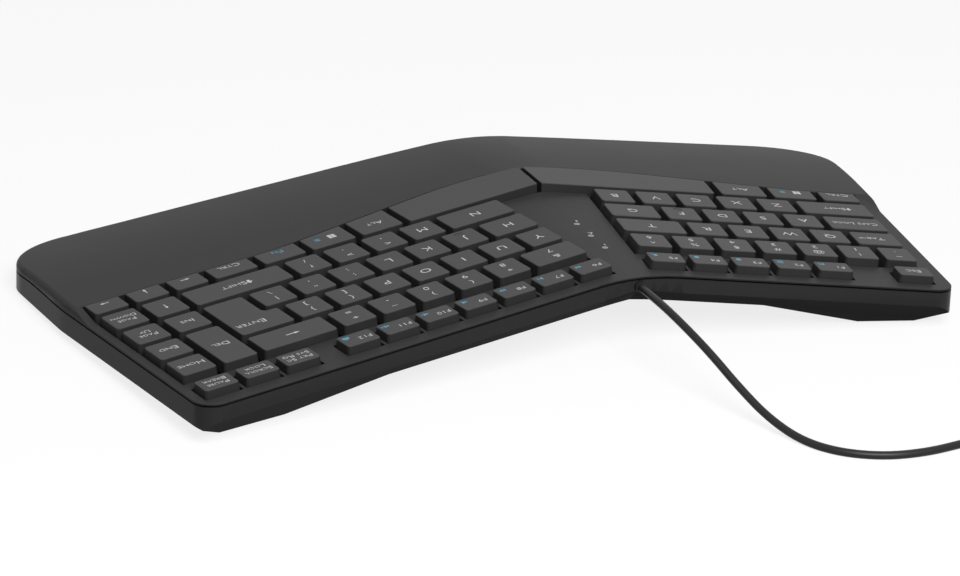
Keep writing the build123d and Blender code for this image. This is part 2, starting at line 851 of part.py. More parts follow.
def make_plug(start):
    """Neck, moulded body and hollow shell, in line with the end of the coil."""
    place = Plane(origin=start, x_dir=coil_way * -1, z_dir=(0, 0, 1)).location
    length, width, thick = plug_body_size
    lengthwise = (Align.MIN, Align.CENTER, Align.CENTER)
    neck = Plane.YZ * loft([Circle(plug_neck_radii[0]), Pos(0, 0, plug_neck_length) * Circle(plug_neck_radii[1])])
    grip = Box(length, width, thick, align=lengthwise)
    grip = fillet(grip.edges().filter_by(Axis.X), plug_edge)
    parts["usb_plug_body"] = place * (neck + Pos(plug_neck_length, 0, 0) * grip)
    length, width, thick = plug_shell_size
    shell = Box(length, width, thick, align=lengthwise)
    inside = width - 2 * plug_shell_wall, thick - 2 * plug_shell_wall
    shell -= Pos(plug_shell_wall, 0, 0) * Box(length, *inside, align=lengthwise)
    shell += Pos(0, 0, inside[1] / 2) * Box(
        length - plug_shell_wall, inside[0], plug_tongue, align=(Align.MIN, Align.CENTER, Align.MAX)
    )
    parts["usb_plug_shell"] = place * Pos(plug_neck_length + plug_body_size[0], 0, 0) * shell


def make_tie(arcs):
    """A flat band round all turns, where the lead enters the coil."""
    crossings = [(arc @ 1 - coil_entry).dot(coil_side) for arc in arcs[1::2]]
    room = lying + tie_clearance
    low, high = -room, max(crossings) + room
    foot, top = tie_thickness, coil_lying + coil_layer + room
    place = Plane(origin=Vector(*coil_start, 0), x_dir=coil_way, z_dir=(0, 0, 1)).location
    turned = -1 if (coil_side - coil_way.rotate(Axis.Z, 90)).length > 1 else 1
    band = Box(tie_width, high - low + 2 * tie_thickness, top - foot + 2 * tie_thickness)
    band -= Box(tie_width * 2, high - low, top - foot)
    parts["coil_tie"] = place * Pos(0, turned * (low + high) / 2, (foot + top) / 2) * band


# Build, stand on the desk and write

def build():
    plan = housing_plan()
    make_cover(plan)
    make_tub(plan)
    make_caps()
    for side in (1, -1):
        make_stack(side)
    make_board()
    make_feet()
    make_pads()
    make_screws()
    make_gland()
    for name, shape in parts.items():
        parts[name] = on_desk * shape
    body = Compound([solid for shape in parts.values() for solid in shape.solids()]).bounding_box()
    middle = body.center()
    make_lead()
    shift = Pos(-middle.X, -middle.Y, -body.min.Z)
    for name, shape in parts.items():
        parts[name] = shift * shape
    return shift


placed = build()
os.makedirs("parts", exist_ok=True)
for name, shape in parts.items():
    export_step(shape, f"parts/{name}.step")
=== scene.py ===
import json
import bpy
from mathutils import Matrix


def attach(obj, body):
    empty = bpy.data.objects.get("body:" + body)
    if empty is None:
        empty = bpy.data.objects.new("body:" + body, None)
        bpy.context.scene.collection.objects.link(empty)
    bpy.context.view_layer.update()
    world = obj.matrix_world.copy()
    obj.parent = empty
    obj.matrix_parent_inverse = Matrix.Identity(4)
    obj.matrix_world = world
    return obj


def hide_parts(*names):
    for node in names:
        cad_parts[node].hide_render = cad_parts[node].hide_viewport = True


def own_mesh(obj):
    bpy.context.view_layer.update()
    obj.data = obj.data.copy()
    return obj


bl_info = {
    "name": "Ergonomic split keyboard",
    "version": (1, 0, 0),
    "blender": (4, 5, 0),
    "location": "3D View > Sidebar > Keyboard",
    "description": "Dresses the packed keyboard: caps with legends, cover, tub, lead and studio",
    "category": "Object",
}

from math import cos, pi, radians, sin

import bmesh
import bpy
from bpy.props import FloatProperty, FloatVectorProperty, IntProperty, PointerProperty
from mathutils import Matrix, Vector
from mathutils.bvhtree import BVHTree

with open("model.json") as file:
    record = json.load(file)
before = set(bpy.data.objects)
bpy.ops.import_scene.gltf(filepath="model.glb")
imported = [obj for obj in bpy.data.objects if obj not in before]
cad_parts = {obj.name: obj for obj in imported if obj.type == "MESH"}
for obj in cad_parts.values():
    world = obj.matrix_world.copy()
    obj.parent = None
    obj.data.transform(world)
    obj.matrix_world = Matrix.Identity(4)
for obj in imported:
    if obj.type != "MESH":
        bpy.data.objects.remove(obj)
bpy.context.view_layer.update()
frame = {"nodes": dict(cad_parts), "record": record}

mm = 0.001

# The key field's own frame, in metres: X to the user's right, Y away from the user, and the ridge
# between the halves at X = 0. Each half is turned by the split and sloped by the tent.

pitch, row_pitch = 0.019, 0.0191
split, tent = radians(8.8), radians(6.4)
standing = (
    Matrix.Translation((-0.0306419, -0.0159215, 0.0382))
    @ Matrix.Rotation(radians(2.5), 4, "X")
    @ Matrix.Rotation(radians(-1.15), 4, "Y")
)


def key_plane(side):
    """The frame of the tilted key plane of the right (1) or the left (-1) half."""
    return standing @ Matrix.Rotation(side * split, 4, "Z") @ Matrix.Rotation(side * tent, 4, "Y")


# Caps: a node holds cells (inner edge, outer edge, row). The edges are in key pitches from the
# ridge, the row in row pitches from the lower row of letters.
# A print is (kind, text or icon, right, up, height, ink), in millimetres from the cap's middle.

function_row, number_row, top_row, home_row, lower_row, front_row = 4.1, 3, 2, 1, 0, -1


def run(first, count, row):
    """Cells of a run of single keys, from the centre of the one nearest the ridge."""
    return [(first + i - 0.5, first + i + 0.5, row) for i in range(count)]


def letter(text, height=3.7, ink="white"):
    """A legend in the middle of its cap."""
    return [("text", text, 0.0, 0.0, height, ink)]


def pair(low, high):
    """The plain sign and the shifted sign above it."""
    return [("text", low, 0.0, -3.2, 3.0, "white"), ("text", high, 0.0, 3.0, 3.0, "white")]


def two_lines(first, second):
    """A legend of two lines."""
    return [("text", first, 0.0, 1.8, 2.4, "white"), ("text", second, 0.0, -1.8, 2.4, "white")]


def function(number, icon):
    """A function key's number and the icon of its second function."""
    return [("text", f"F{number}", -3.0, 0.6, 2.4, "white"), ("icon", icon, 4.6, -2.2, 3.1, "blue")]


def arrow(way, size=3.4, right=0.0):
    """A white icon, in the middle of its cap or beside it."""
    return [("icon", way, right, 0.0, size, "white")]


right_cells = {
    "function_keys_right": run(1.6, 7, function_row),
    "print_pause_keys": run(9.11, 3, function_row),
    "number_keys_right": [(1.12, 2.6, number_row)] + run(3.1, 5, number_row),
    "top_letters_right": [(1.12, 2.1, top_row)] + run(2.6, 6, top_row),
    "home_letters_right": [(1.12, 2.438, home_row)] + run(2.938, 6, home_row),
    "lower_letters_right": [(1.12, 2.963, lower_row)] + run(3.463, 4, lower_row),
    "backspace_key": [(7.6, 9.6, number_row)],
    "right_shift_key": [(6.963, 9.6, lower_row)],
    "insert_key": run(10.1, 1, home_row),
    "arrow_up_key": run(10.1, 1, lower_row),
    "home_key": run(11.11, 1, number_row),
    "end_key": run(11.11, 1, top_row),
    "page_up_key": run(11.11, 1, home_row),
    "page_down_key": run(11.11, 1, lower_row),
    "enter_key": [(8.5, 9.62, top_row)],
    "delete_key": [(9.6, 10.6, 2.5)],
    "space_bar_right": [(0.0, 3.5, front_row)],
    "right_alt_key": [(3.5, 4.75, front_row)],
    "right_super_key": [(4.75, 6.06, front_row)],
    "fn_key": [(6.06, 7.31, front_row)],
    "right_ctrl_key": [(7.31, 8.57, front_row)],
    "arrow_left_key": [(8.57, 9.57, front_row)],
    "arrow_down_key": [(9.57, 10.59, front_row)],
    "arrow_right_key": [(10.59, 11.61, front_row)],
}
left_cells = {
    "function_keys_left": run(1.59, 5, function_row),
    "escape_key": run(7.55, 1, function_row),
    "number_keys_left": run(1.567, 6, number_row),
    "backquote_key": [(7.067, 8.0, number_row)],
    "top_letters_left": [(1.03, 2.73, top_row)] + run(3.23, 4, top_row),
    "tab_key": [(6.73, 8.0, top_row)],
    "home_letters_left": [(1.03, 2.412, home_row)] + run(2.912, 4, home_row),
    "caps_lock_key": [(6.412, 8.0, home_row)],
    "lower_letters_left": run(1.58, 5, lower_row),
    "left_shift_key": [(6.08, 8.0, lower_row)],
    "space_bar_left": [(0.0, 4.33, front_row)],
    "left_alt_key": [(4.33, 5.65, front_row)],
    "left_super_key": [(5.65, 6.9, front_row)],
    "left_ctrl_key": [(6.9, 8.0, front_row)],
}
halves = ((1, right_cells), (-1, left_cells))
media = ["previous", "play", "next", "mute", "quieter", "louder", "mail"]
tasks = ["search", "home", "star", "list", "play"]
prints = {
    "function_keys_right": [function(6 + i, icon) for i, icon in enumerate(media)],
    "print_pause_keys": [
        two_lines("Prt Sc", "Sys Rq"), two_lines("Scroll", "Lock"), two_lines("Pause", "Break"),
    ],
    "number_keys_right": [pair(*keys) for keys in ("7&", "8*", "9(", "0)", "-_", "=+")],
    "top_letters_right": [letter(key) for key in "YUIOP"] + [pair("[", "{"), pair("]", "}")],
    "home_letters_right": [
        *(letter(key) for key in "HJKL"), pair(";", ":"), pair("'", '"'), pair("\\", "|"),
    ],
    "lower_letters_right": [
        *(letter(key) for key in "NM"), pair(",", "<"), pair(".", ">"), pair("/", "?"),
    ],
    "backspace_key": [arrow("back", 3.6)],
    "right_shift_key": [[("text", "Shift", 1.5, 0.0, 3.2, "white")] + arrow("shift", 3.6, -5.6)],
    "insert_key": [letter("Ins", 2.9)],
    "arrow_up_key": [arrow("up")],
    "home_key": [letter("Home", 2.9)],
    "end_key": [letter("End", 2.9)],
    "page_up_key": [two_lines("Page", "Up")],
    "page_down_key": [two_lines("Page", "Down")],
    "enter_key": [letter("Enter", 3.2)],
    "delete_key": [letter("Del", 2.9)],
    "right_alt_key": [letter("Alt", 2.9)],
    "right_super_key": [arrow("window", 4.0, -2.6) + [("icon", "menu", 4.6, 0.0, 2.7, "blue")]],
    "fn_key": [letter("Fn", 3.0, "blue")],
    "right_ctrl_key": [letter("Ctrl", 2.9)],
    "arrow_left_key": [arrow("left")],
    "arrow_down_key": [arrow("down")],
    "arrow_right_key": [arrow("right")],
    "function_keys_left": [function(5 - i, icon) for i, icon in enumerate(tasks)],
    "escape_key": [letter("Esc", 2.9)],
    "number_keys_left": [pair(*keys) for keys in ("6^", "5%", "4$", "3#", "2@", "1!")],
    "backquote_key": [pair("`", "~")],
    "top_letters_left": [letter(key) for key in "TREWQ"],
    "tab_key": [letter("Tab", 2.9) + arrow("tab", 2.6, 6.0)],
    "home_letters_left": [letter(key) for key in "GFDSA"],
    "caps_lock_key": [letter("Caps Lock", 2.7)],
    "lower_letters_left": [letter(key) for key in "BVCXZ"],
    "left_shift_key": [letter("Shift", 2.9) + arrow("shift", 3.2, -6.6)],
    "left_alt_key": [letter("Alt", 2.9)],
    "left_super_key": [arrow("window", 4.0, -2.6) + [("icon", "menu", 4.2, 0.0, 2.7, "blue")]],
    "left_ctrl_key": [letter("Ctrl", 2.9)],
}


class KeyboardFinish(bpy.types.PropertyGroup):
    """Colours of the moulded parts and of the prints."""

    cap_colour: FloatVectorProperty(
        name="Caps", description="Colour of the keycaps",
        subtype="COLOR", size=3, default=(0.05, 0.05, 0.052),
    )
    # The caps' sides are the caps' own plastic made darker: painted shade.
    painted_shade_side_colour: FloatVectorProperty(
        name="Cap sides", description="Colour of the caps' sides",
        subtype="COLOR", size=3, default=(0.02, 0.02, 0.021),
    )
    cover_colour: FloatVectorProperty(
        name="Cover", description="Colour of the cover and palm rest",
        subtype="COLOR", size=3, default=(0.031, 0.031, 0.0325),
    )
    tub_colour: FloatVectorProperty(
        name="Tub", description="Colour of the lower shell",
        subtype="COLOR", size=3, default=(0.02, 0.02, 0.021),
    )
    print_colour: FloatVectorProperty(
        name="Prints", description="Colour of the legends",
        subtype="COLOR", size=3, default=(0.5, 0.5, 0.5),
    )
    second_print_colour: FloatVectorProperty(
        name="Second prints", description="Colour of the second functions",
        subtype="COLOR", size=3, default=(0.05, 0.25, 0.36),
    )


class KeyboardSizes(bpy.types.PropertyGroup):
    """Sizes that a user would change."""

    cap_edge: FloatProperty(
        name="Cap edge", description="Radius of the caps' top edges",
        unit="LENGTH", default=0.0004, min=0.0001, max=0.001,
    )
    rim_edge: FloatProperty(
        name="Rim edge", description="Radius of the cover's small edges",
        unit="LENGTH", default=0.00035, min=0.0001, max=0.0006,
    )
    lead_diameter: FloatProperty(
        name="Lead diameter", description="Outer diameter of the lead",
        unit="LENGTH", default=0.0035, min=0.002, max=0.006,
    )
    print_height: FloatProperty(
        name="Print height", description="How far the legends stand out",
        unit="LENGTH", default=0.00003, min=0.00001, max=0.0002,
    )
    curve_steps: IntProperty(
        name="Curve steps", description="Facets in each rounded edge of a cap",
        default=3, min=1, max=6,
    )


# Materials


class Line:
    """A socket in a material. Maths on it adds the nodes that work it out."""

    def __init__(self, finish, socket):
        self.finish, self.socket = finish, socket

    def maths(self, operation, first, second):
        return self.finish.node("ShaderNodeMath", {"operation": operation}, {0: first, 1: second})

    def __add__(self, other):
        return self.maths("ADD", self, other)

    def __radd__(self, other):
        return self.maths("ADD", other, self)

    def __mul__(self, other):
        return self.maths("MULTIPLY", self, other)

    def __rmul__(self, other):
        return self.maths("MULTIPLY", other, self)


class Finish:
    """A material being made, with the Principled shader at its end."""

    def __init__(self, name, **surface):
        self.material = bpy.data.materials.new(name)
        self.material.use_nodes = True
        self.tree = self.material.node_tree
        self.shader = self.tree.nodes["Principled BSDF"]
        for socket, value in surface.items():
            self.set(socket.replace("_", " "), value)

    def set(self, socket, value):
        """Links or sets a socket of the shader; a colour gets its alpha."""
        target = self.shader.inputs[socket]
        if isinstance(value, Line):
            self.tree.links.new(value.socket, target)
        else:
            target.default_value = (*value, 1.0) if isinstance(value, tuple) else value

    def node(self, kind, settings=None, sockets=None, output=0):
        """A node of a type, its settings, then the values or links of its sockets."""
        made = self.tree.nodes.new(kind)
        for name, value in (settings or {}).items():
            setattr(made, name, value)
        for key, value in (sockets or {}).items():
            if isinstance(value, Line):
                self.tree.links.new(value.socket, made.inputs[key])
            else:
                made.inputs[key].default_value = value
        return Line(self, made.outputs[output])

    def place(self):
        """The place on the object, which patterns are laid out by."""
        return self.node("ShaderNodeTexCoord", output="Object")

    def noise(self, size, detail=2.0):
        """Noise whose grains have this size in metres."""
        sockets = {"Vector": self.place(), "Scale": 1.0 / size, "Detail": detail}
        return self.node("ShaderNodeTexNoise", None, sockets)

    def between(self, factor, low, high):
        """A colour between two, by a factor."""
        mixed = {"Factor": factor, 6: (*low, 1.0), 7: (*high, 1.0)}
        return self.node("ShaderNodeMix", {"data_type": "RGBA"}, mixed, output=2)

    def grain(self, height, strength, distance):
        """The surface's relief from a height."""
        self.set("Normal", self.node(
            "ShaderNodeBump", None, {"Height": height, "Strength": strength, "Distance": distance}
        ))


class Surroundings(Finish):
    """The world's own nodes, with the Background shader at their end."""

    def __init__(self, world):
        world.use_nodes = True
        self.tree = world.node_tree
        self.shader = self.tree.nodes["Background"]


def looked_at(finish):
    """1 for rays from the camera and by way of gloss or glass, 0 for the light on the object."""
    path = finish.tree.nodes.new("ShaderNodeLightPath")
    ways = ("Camera", "Glossy", "Transmission")
    camera, gloss, glass = (Line(finish, path.outputs[f"Is {way} Ray"]) for way in ways)
    total = camera + gloss + glass
    return total.maths("MINIMUM", total, 1.0)


finishes = {}

# How a finish wanders: the size of its clouds in metres, its darkest and lightest tone, and how far
# its clouds and its grain move the roughness. The relief is its strength and its depth, in grains.

moulded_cloud, moulded_tones = 0.018, (0.93, 1.07)
moulded_gloss, moulded_relief = (0.06, 0.04), (0.22, 0.12)
plain_cloud, plain_tones = 0.006, (0.92, 1.08)
plain_gloss, plain_relief = 0.08, (0.12, 0.1)
cloud_detail = 3.0
board_cells_per_metre = 420.0


def shade(colour, factor):
    """A colour made darker or lighter."""
    return tuple(value * factor for value in colour)


def moulded(name, colour, roughness, grain, specular=0.35):
    """Moulded plastic with a spark-eroded grain and slow changes of tone."""
    made = Finish(name, Specular_IOR_Level=specular)
    cloud = made.noise(moulded_cloud, cloud_detail)
    made.set("Base Color", made.between(cloud, *(shade(colour, tone) for tone in moulded_tones)))
    speck = made.noise(grain)
    by_cloud, by_grain = moulded_gloss
    middle = roughness - (by_cloud + by_grain) / 2
    made.set("Roughness", middle + cloud * by_cloud + speck * by_grain)
    strength, depth = moulded_relief
    made.grain(speck, strength, grain * depth)
    finishes[name] = made.material


def plain(name, colour, roughness, metallic=0.0, specular=0.5, grain=0.0006):
    """A plain material whose tone and gloss wander a little."""
    made = Finish(name, Metallic=metallic, Specular_IOR_Level=specular)
    cloud = made.noise(plain_cloud, cloud_detail)
    made.set("Base Color", made.between(cloud, *(shade(colour, tone) for tone in plain_tones)))
    made.set("Roughness", roughness - plain_gloss / 2 + cloud * plain_gloss)
    strength, depth = plain_relief
    made.grain(made.noise(grain), strength, grain * depth)
    finishes[name] = made.material


def make_finishes():
    """Makes all finishes, each from its colour and roughness, a moulded one also from its grain."""
    look = bpy.context.scene.keyboard_finish
    cap_grain, shell_grain = 0.00032, 0.00038
    moulded("cap_plastic", tuple(look.cap_colour), 0.5, cap_grain, 0.1)
    # The caps' sides: a darker copy of the caps' plastic, painted shade.
    moulded("cap_sides_painted_shade", tuple(look.painted_shade_side_colour), 0.42, cap_grain, 0.08)
    moulded("cover_plastic", tuple(look.cover_colour), 0.5, shell_grain, 0.06)
    # The cover's walls: its own plastic made darker, as painted shade.
    moulded("cover_walls_painted_shade", shade(tuple(look.cover_colour), 0.4), 0.42, shell_grain, 0.06)
    moulded("tub_plastic", tuple(look.tub_colour), 0.34, shell_grain, 0.07)
    # The underside: the tub's own plastic made lighter, as painted light where little light
    # reaches.
    moulded("underside_painted_light", shade(tuple(look.tub_colour), 1.2), 0.7, shell_grain, 0.02)
    moulded("frame_plastic", (0.008, 0.008, 0.009), 0.65, 0.0005, 0.05)
    moulded("foot_plastic", (0.022, 0.022, 0.024), 0.45, 0.0004)
    plain("white_print", tuple(look.print_colour), 0.5, grain=0.0003)
    plain("blue_print", tuple(look.second_print_colour), 0.5, grain=0.0003)
    plain("dome_rubber", (0.42, 0.42, 0.4), 0.6)
    plain("membrane_film", (0.3, 0.32, 0.33), 0.3)
    plain("plate_steel", (0.42, 0.42, 0.43), 0.38, metallic=1.0, grain=0.0009)
    plain("screw_steel", (0.32, 0.32, 0.33), 0.33, metallic=1.0)
    plain("pad_rubber", (0.016, 0.016, 0.017), 0.75, specular=0.3)
    plain("lens_plastic", (0.022, 0.022, 0.024), 0.16)
    plain("lead_jacket", (0.013, 0.013, 0.014), 0.36, specular=0.2)
    plain("tie_plastic", (0.02, 0.02, 0.021), 0.5)
    plain("plug_plastic", (0.018, 0.018, 0.019), 0.45)
    plain("plug_steel", (0.62, 0.62, 0.63), 0.28, metallic=1.0)
    made = Finish("board", Specular_IOR_Level=0.5, Coat_Roughness=0.2)
    cells = {"Vector": made.place(), "Scale": board_cells_per_metre}
    track = made.node("ShaderNodeTexVoronoi", None, cells)
    made.set("Base Color", made.between(track, (0.006, 0.06, 0.022), (0.02, 0.13, 0.05)))
    made.set("Roughness", 0.3 + track * 0.1)
    finishes["board"] = made.material


# Meshes

same_spot, same_plane = 1e-6, radians(0.4)


def cad_copy(node):
    """A merged copy of a CAD node's mesh, with its flat faces whole."""
    bm = bmesh.new()
    bm.from_mesh(frame["nodes"][node].data)
    bmesh.ops.remove_doubles(bm, verts=bm.verts, dist=same_spot)
    bmesh.ops.dissolve_limit(bm, angle_limit=same_plane, verts=bm.verts, edges=bm.edges)
    return bm


def surface(bm):
    """A tree to cast rays at, in place of the mesh."""
    tree = BVHTree.FromBMesh(bm)
    bm.free()
    return tree


def as_piece(bm, name, body, finish, replaces=(), sharp=35.0):
    """An object of a bmesh, riding on its body; finish is one name or a list of them."""
    mesh = bpy.data.meshes.new(name)
    bm.to_mesh(mesh)
    bm.free()
    mesh.shade_smooth()
    mesh.set_sharp_from_angle(angle=radians(sharp))
    for one in [finish] if isinstance(finish, str) else finish:
        mesh.materials.append(finishes[one])
    piece = bpy.data.objects.new(name, mesh)
    bpy.context.scene.collection.objects.link(piece)
    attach(piece, body)
    if replaces:
        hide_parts(*replaces)
    return piece


def body_of(node):
    """The body that a node rides on."""
    for body, members in frame["record"]["behaviour"]["bodies"].items():
        if node in members:
            return body
    raise RuntimeError(f"{node} is on no body")


def rounded(bm, edges, width, steps=2):
    """Rounds edges of a mesh."""
    bmesh.ops.bevel(
        bm, geom=edges, offset=width, offset_type="OFFSET", segments=steps, profile=0.5,
        affect="EDGES", clamp_overlap=False, material=-1,
    )


def rounded_copy(node, width, turn=radians(50)):
    """A copy of a CAD node whose edges that turn by more than this are rounded."""
    bm = cad_copy(node)
    edges = [edge for edge in bm.edges if len(edge.link_faces) == 2]
    rounded(bm, [edge for edge in edges if edge.calc_face_angle(0.0) > turn], width)
    return bm


def weighted(piece):
    """Keeps the flat faces of a piece with rounded edges flat to the eye."""
    piece.modifiers.new("flat faces stay flat", "WEIGHTED_NORMAL").keep_sharp = True


# Caps: their tops lie on the key plane. What is above top_level belongs to the top, and an upright
# corner runs from there down past foot_level. A face belongs to the top where its normal's part
# along the plane's own is above top_slope. The other faces, the sides, get a darker copy of the
# cap's plastic: painted shade, because the sides take less of the light from above.

cap_depth = 0.0056
top_level, foot_level, on_plane = -0.0004, -cap_depth + 0.0006, 0.0002
top_slope, cap_crease = 0.6, radians(30)


def cap_rim(bm, level):
    """The edges round a cap's top and its upright corners."""
    rim = []
    for edge in bm.edges:
        if len(edge.link_faces) != 2 or edge.calc_face_angle(0.0) <= cap_crease:
            continue
        low, high = sorted(level[v] for v in edge.verts)
        if low > top_level or (high > top_level and low < foot_level):
            rim.append(edge)
    return rim


class KEYBOARD_OT_caps(bpy.types.Operator):
    """Keycaps with softened edges, one piece for each key node"""

    bl_idname = "keyboard.caps"
    bl_label = "Keycaps"

    def execute(self, context):
        sizes = context.scene.keyboard_sizes
        for side, table in halves:
            flat = key_plane(side).inverted()
            up = key_plane(side).to_3x3() @ Vector((0.0, 0.0, 1.0))
            for node in table:
                bm = cad_copy(node)
                level = {v: (flat @ v.co).z for v in bm.verts}
                if not any(abs(z) < on_plane for z in level.values()):
                    raise RuntimeError(f"{node} doesn't reach the key plane")
                rounded(bm, cap_rim(bm, level), sizes.cap_edge, sizes.curve_steps)
                # Tops keep the cap's plastic; the sides get its darker copy, painted shade.
                for face in bm.faces:
                    face.material_index = 0 if face.normal.dot(up) > top_slope else 1
                looks = ["cap_plastic", "cap_sides_painted_shade"]
                weighted(as_piece(bm, f"{node}_caps", body_of(node), looks, [node]))
        return {"FINISHED"}


# Prints. An icon is a list of flat outlines, about one unit high. capital_share is how much of the
# font's size a capital takes, and a bump is the ridge that the forefingers feel.

letter_width, thinner_stroke, capital_share = 1.3, -0.00004, 0.7
print_lift = 0.00002
bump_down, bump_size, bump_edge = 0.0056, (0.0042, 0.0007, 0.0007), 0.0002
inks, print_crease = ["white_print", "blue_print"], 30.0


def polygon(bm, points, place):
    """A flat closed face through points, in millimetres on its cap."""
    bm.faces.new([bm.verts.new(place @ Vector((x * mm, y * mm, 0.0))) for x, y in points])


def block(x0, y0, x1, y1):
    """A rectangle."""
    return [(x0, y0), (x1, y0), (x1, y1), (x0, y1)]


def turned(points, quarter_turns):
    """An outline turned to the left."""
    for _ in range(quarter_turns):
        points = [(-y, x) for x, y in points]
    return points


def disc(radius, x=0.0, y=0.0, count=12):
    """A regular outline round a point."""
    turns = [2 * pi * i / count for i in range(count)]
    return [(x + radius * cos(turn), y + radius * sin(turn)) for turn in turns]


def tri(x0, x1, half):
    """A triangle with its flat side at x0 and its point at x1."""
    return [(x0, -half), (x1, 0.0), (x0, half)] if x1 > x0 else [(x0, half), (x1, 0.0), (x0, -half)]


long_arrow = [block(-0.6, -0.06, 0.15, 0.06), tri(0.15, 0.62, 0.22)]
three_bars = [block(-0.45, y, 0.45, y + 0.14) for y in (-0.4, -0.07, 0.26)]
icons = {
    "right": long_arrow,
    "up": [turned(face, 1) for face in long_arrow],
    "left": [turned(face, 2) for face in long_arrow],
    "down": [turned(face, 3) for face in long_arrow],
    "back": [turned([(x * 1.5, y) for x, y in face], 2) for face in long_arrow],
    "tab": long_arrow + [block(0.62, -0.2, 0.7, 0.2)],
    "shift": [turned(tri(0.0, 0.5, 0.42), 1), block(-0.18, -0.45, 0.18, 0.0)],
    "window": [block(x, y, x + 0.4, y + 0.4) for x in (-0.43, 0.03) for y in (-0.43, 0.03)],
    "menu": three_bars,
    "play": [tri(-0.35, 0.2, 0.4), block(0.3, -0.4, 0.42, 0.4)],
    "previous": [tri(0.0, -0.5, 0.35), tri(0.5, 0.0, 0.35)],
    "next": [tri(0.0, 0.5, 0.35), tri(-0.5, 0.0, 0.35)],
    "mute": [block(-0.45, -0.15, -0.15, 0.15), tri(0.25, -0.25, 0.42)],
    "quieter": [
        block(-0.5, -0.15, -0.2, 0.15), tri(0.2, -0.3, 0.42), block(0.35, -0.06, 0.65, 0.06),
    ],
    "louder": [
        block(-0.5, -0.15, -0.2, 0.15), tri(0.2, -0.3, 0.42), block(0.35, -0.06, 0.75, 0.06),
        block(0.49, 0.07, 0.61, 0.22), block(0.49, -0.22, 0.61, -0.07),
    ],
    "mail": [block(-0.5, -0.35, 0.5, 0.12), [(-0.5, 0.2), (0.5, 0.2), (0.0, 0.42)]],
    "search": [disc(0.32, -0.1, 0.1), [(0.12, -0.06), (0.42, -0.38), (0.34, -0.46), (0.04, -0.14)]],
    "home": [block(-0.3, -0.4, 0.3, 0.05), [(-0.45, 0.1), (0.45, 0.1), (0.0, 0.45)]],
    "star": [disc(0.42, count=5)],
    "list": three_bars,
}


def lettering(text, height):
    """The mesh of a line of text, in the middle of its own frame, standing out of its plane."""
    words = bpy.data.curves.new("words", "FONT")
    words.body = text
    words.align_x, words.align_y = "CENTER", "CENTER"
    words.size = height * mm / capital_share
    words.resolution_u = 3
    words.offset = thinner_stroke
    for character in words.body_format:
        character.use_small_caps = True
    words.extrude = bpy.context.scene.keyboard_sizes.print_height
    holder = bpy.data.objects.new("words", words)
    bpy.context.scene.collection.objects.link(holder)
    bpy.context.view_layer.update()
    depsgraph = bpy.context.evaluated_depsgraph_get()
    mesh = bpy.data.meshes.new_from_object(holder.evaluated_get(depsgraph))
    bpy.data.objects.remove(holder)
    bpy.data.curves.remove(words)
    return mesh


def add_print(bm, place, kind, what, height, ink):
    """Adds one legend or icon to a bmesh, on the XY plane of a place."""
    before = set(bm.faces)
    if kind == "text":
        mesh = lettering(what, height)
        low = min(v.co.y for v in mesh.vertices)
        high = max(v.co.y for v in mesh.vertices)
        wide = Matrix.Diagonal((letter_width, 1.0, 1.0, 1.0))
        mesh.transform(place @ wide @ Matrix.Translation((0.0, -(low + high) / 2, 0.0)))
        bm.from_mesh(mesh)
        bpy.data.meshes.remove(mesh)
    else:
        proud = bpy.context.scene.keyboard_sizes.print_height
        sunk = place @ Matrix.Translation((0, 0, -proud))
        for face in icons[what]:
            polygon(bm, [(x * height, y * height) for x, y in face], sunk)
        fresh = [face for face in bm.faces if face not in before]
        lifted = bmesh.ops.extrude_face_region(bm, geom=fresh, use_keep_orig=True)["geom"]
        up = place.to_3x3() @ Vector((0, 0, 2 * proud))
        lifted = [part for part in lifted if isinstance(part, bmesh.types.BMVert)]
        bmesh.ops.translate(bm, vec=up, verts=lifted)
    fresh = [face for face in bm.faces if face not in before]
    for face in fresh:
        face.material_index = inks.index(f"{ink}_print")
    bmesh.ops.recalc_face_normals(bm, faces=fresh)


class KEYBOARD_OT_prints(bpy.types.Operator):
    """Legends and icons on the caps, generic ones in a plain face"""

    bl_idname = "keyboard.prints"
    bl_label = "Legends"

    def execute(self, context):
        for side, table in halves:
            for node, cells in table.items():
                if node not in prints:
                    continue
                if len(cells) != len(prints[node]):
                    raise RuntimeError(f"{node} has {len(cells)} caps, {len(prints[node])} legends")
                bm = bmesh.new()
                for (inner, outer, row), legends in zip(cells, prints[node]):
                    x, y = side * (inner + outer) * pitch / 2, row * row_pitch
                    for kind, what, right, up, height, ink in legends:
                        spot = Vector((x + right * mm, y + up * mm, print_lift))
                        place = key_plane(side) @ Matrix.Translation(spot)
                        add_print(bm, place, kind, what, height, ink)
                as_piece(bm, f"{node}_prints", body_of(node), inks, sharp=print_crease)
        for side, table in halves:
            node = next(node for node in table if node.startswith("home_letters"))
            inner, outer, row = table[node][1]
            bm = bmesh.new()
            middle = side * (inner + outer) * pitch / 2, row * row_pitch - bump_down, 0.0
            place = key_plane(side) @ Matrix.Translation(middle)
            bmesh.ops.create_cube(bm, size=1.0, matrix=place @ Matrix.Diagonal((*bump_size, 1.0)))
            rounded(bm, bm.edges[:], bump_edge)
            as_piece(bm, f"{node}_bump", body_of(node), "cap_plastic")
        return {"FINISHED"}


# Housing: Z is up here. A rim edge lies between a top face and a wall, and it is on the outside
# where a ray that falls just beyond the wall misses the tub. The solid's own palm rim is filleted
# up to palm_end, so the outer rim is rounded behind it alone.

top_face, wall_face = 0.8, 0.35
beyond_wall, above_wall = 0.0012, 0.01
palm_end, outer_round, well_round, rim_steps = -0.012, 1.0, 0.7, 3
# cover_wall is the normal z below which the cover's faces get the darker copy of its plastic,
# painted shade.
cover_wall, underside_painted_light, tub_crease = 0.45, -0.28, 24.0


